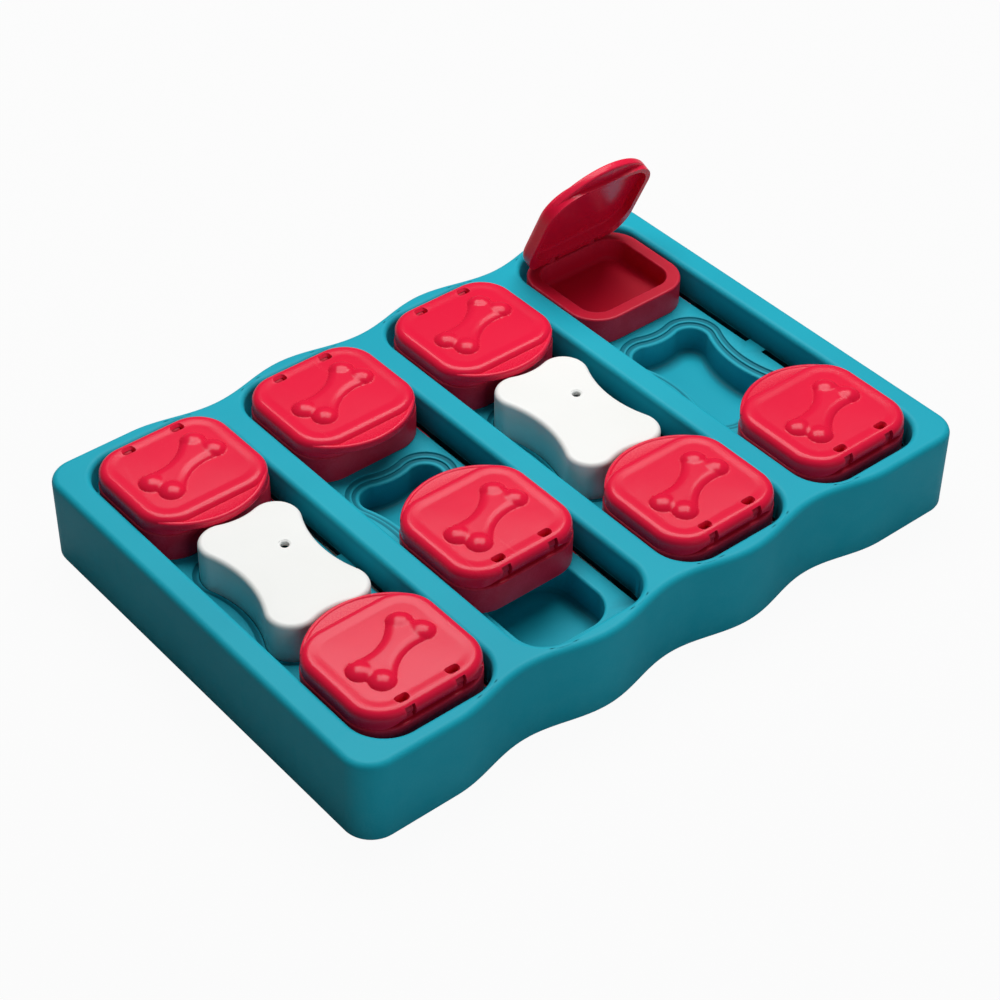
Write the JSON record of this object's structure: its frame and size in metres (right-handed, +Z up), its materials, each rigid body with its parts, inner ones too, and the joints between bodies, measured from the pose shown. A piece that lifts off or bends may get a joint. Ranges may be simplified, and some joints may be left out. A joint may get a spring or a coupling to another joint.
{
  "type": "dog puzzle feeder toy",
  "caption": "Flat treat puzzle for a dog: a wavy tray with channels, sliding boxes with hinged lids, and lift-off hollow bones over recesses.",
  "frame": {"origin": "centre of the tray on the table, under the rubber feet", "axes": "+X across the channels along the tray's long wavy sides, +Y along the channels, +Z up"},
  "size_m": [0.32, 0.221, 0.0985],
  "materials": {
    "tray_plastic": "satin teal moulded plastic",
    "box_plastic": "semi-gloss red moulded plastic",
    "lid_plastic": "semi-gloss red moulded plastic, softly rounded",
    "bone_plastic": "satin white moulded plastic",
    "foot_rubber": "matt dark rubber",
    "pin_steel": "plain drawn steel wire"
  },
  "bodies": {
    "tray": {"base_tray": "tray_plastic", "rubber_feet": "foot_rubber", "channel_trough_1": "tray_plastic", "channel_trough_2": "tray_plastic", "channel_trough_3": "tray_plastic", "channel_trough_4": "tray_plastic"},
    "sliding_box_1_near": {"box_1_near": "box_plastic"},
    "hinged_lid_1_near": {"lid_1_near": "lid_plastic", "hinge_pin_1_near": "pin_steel"},
    "sliding_box_1_far": {"box_1_far": "box_plastic"},
    "hinged_lid_1_far": {"lid_1_far": "lid_plastic", "hinge_pin_1_far": "pin_steel"},
    "sliding_box_2_near": {"box_2_near": "box_plastic"},
    "hinged_lid_2_near": {"lid_2_near": "lid_plastic", "hinge_pin_2_near": "pin_steel"},
    "sliding_box_2_far": {"box_2_far": "box_plastic"},
    "hinged_lid_2_far": {"lid_2_far": "lid_plastic", "hinge_pin_2_far": "pin_steel"},
    "sliding_box_3_near": {"box_3_near": "box_plastic"},
    "hinged_lid_3_near": {"lid_3_near": "lid_plastic", "hinge_pin_3_near": "pin_steel"},
    "sliding_box_3_far": {"box_3_far": "box_plastic"},
    "hinged_lid_3_far": {"lid_3_far": "lid_plastic", "hinge_pin_3_far": "pin_steel"},
    "sliding_box_4_near": {"box_4_near": "box_plastic"},
    "hinged_lid_4_near": {"lid_4_near": "lid_plastic", "hinge_pin_4_near": "pin_steel"},
    "sliding_box_4_far": {"box_4_far": "box_plastic"},
    "hinged_lid_4_far": {"lid_4_far": "lid_plastic", "hinge_pin_4_far": "pin_steel"},
    "lift_off_bone_1": {"bone_1": "bone_plastic"},
    "lift_off_bone_3": {"bone_3": "bone_plastic"}
  },
  "joints": [
    {"name": "slide_1_near", "type": "slide", "parent": "tray", "child": "sliding_box_1_near", "axis": [0, 1, 0], "range_m": [0, 0.0006]},
    {"name": "flip_1_near", "type": "hinge", "parent": "sliding_box_1_near", "child": "hinged_lid_1_near", "pos_m": [-0.1155, -0.0942, 0.0435], "axis": [1, 0, 0], "range_deg": [0, 105]},
    {"name": "slide_1_far", "type": "slide", "parent": "tray", "child": "sliding_box_1_far", "axis": [0, -1, 0], "range_m": [0, 0.0006]},
    {"name": "flip_1_far", "type": "hinge", "parent": "sliding_box_1_far", "child": "hinged_lid_1_far", "pos_m": [-0.1155, 0.0942, 0.0435], "axis": [-1, 0, 0], "range_deg": [0, 105]},
    {"name": "slide_2_near", "type": "slide", "parent": "tray", "child": "sliding_box_2_near", "axis": [0, 1, 0], "range_m": [-0.037, 0]},
    {"name": "flip_2_near", "type": "hinge", "parent": "sliding_box_2_near", "child": "hinged_lid_2_near", "pos_m": [-0.0385, -0.0572, 0.0435], "axis": [1, 0, 0], "range_deg": [0, 105]},
    {"name": "slide_2_far", "type": "slide", "parent": "tray", "child": "sliding_box_2_far", "axis": [0, -1, 0], "range_m": [0, 0.0325]},
    {"name": "flip_2_far", "type": "hinge", "parent": "sliding_box_2_far", "child": "hinged_lid_2_far", "pos_m": [-0.0385, 0.0942, 0.0435], "axis": [-1, 0, 0], "range_deg": [0, 105]},
    {"name": "slide_3_near", "type": "slide", "parent": "tray", "child": "sliding_box_3_near", "axis": [0, 1, 0], "range_m": [0, 0.0006]},
    {"name": "flip_3_near", "type": "hinge", "parent": "sliding_box_3_near", "child": "hinged_lid_3_near", "pos_m": [0.0385, -0.0942, 0.0435], "axis": [1, 0, 0], "range_deg": [0, 105]},
    {"name": "slide_3_far", "type": "slide", "parent": "tray", "child": "sliding_box_3_far", "axis": [0, -1, 0], "range_m": [0, 0.0006]},
    {"name": "flip_3_far", "type": "hinge", "parent": "sliding_box_3_far", "child": "hinged_lid_3_far", "pos_m": [0.0385, 0.0942, 0.0435], "axis": [-1, 0, 0], "range_deg": [0, 105]},
    {"name": "slide_4_near", "type": "slide", "parent": "tray", "child": "sliding_box_4_near", "axis": [0, 1, 0], "range_m": [0, 0.0347]},
    {"name": "flip_4_near", "type": "hinge", "parent": "sliding_box_4_near", "child": "hinged_lid_4_near", "pos_m": [0.1155, -0.0942, 0.0435], "axis": [1, 0, 0], "range_deg": [0, 105]},
    {"name": "slide_4_far", "type": "slide", "parent": "tray", "child": "sliding_box_4_far", "axis": [0, -1, 0], "range_m": [0, 0.0347]},
    {"name": "flip_4_far", "type": "hinge", "parent": "sliding_box_4_far", "child": "hinged_lid_4_far", "pos_m": [0.1155, 0.0942, 0.0435], "axis": [-1, 0, 0], "range_deg": [-66, 39]},
    {"name": "lift_bone_1", "type": "slide", "parent": "tray", "child": "lift_off_bone_1", "axis": [0, 0, 1], "range_m": [0, 0.08]},
    {"name": "lift_bone_3", "type": "slide", "parent": "tray", "child": "lift_off_bone_3", "axis": [0, 0, 1], "range_m": [0, 0.08]}
  ]
}
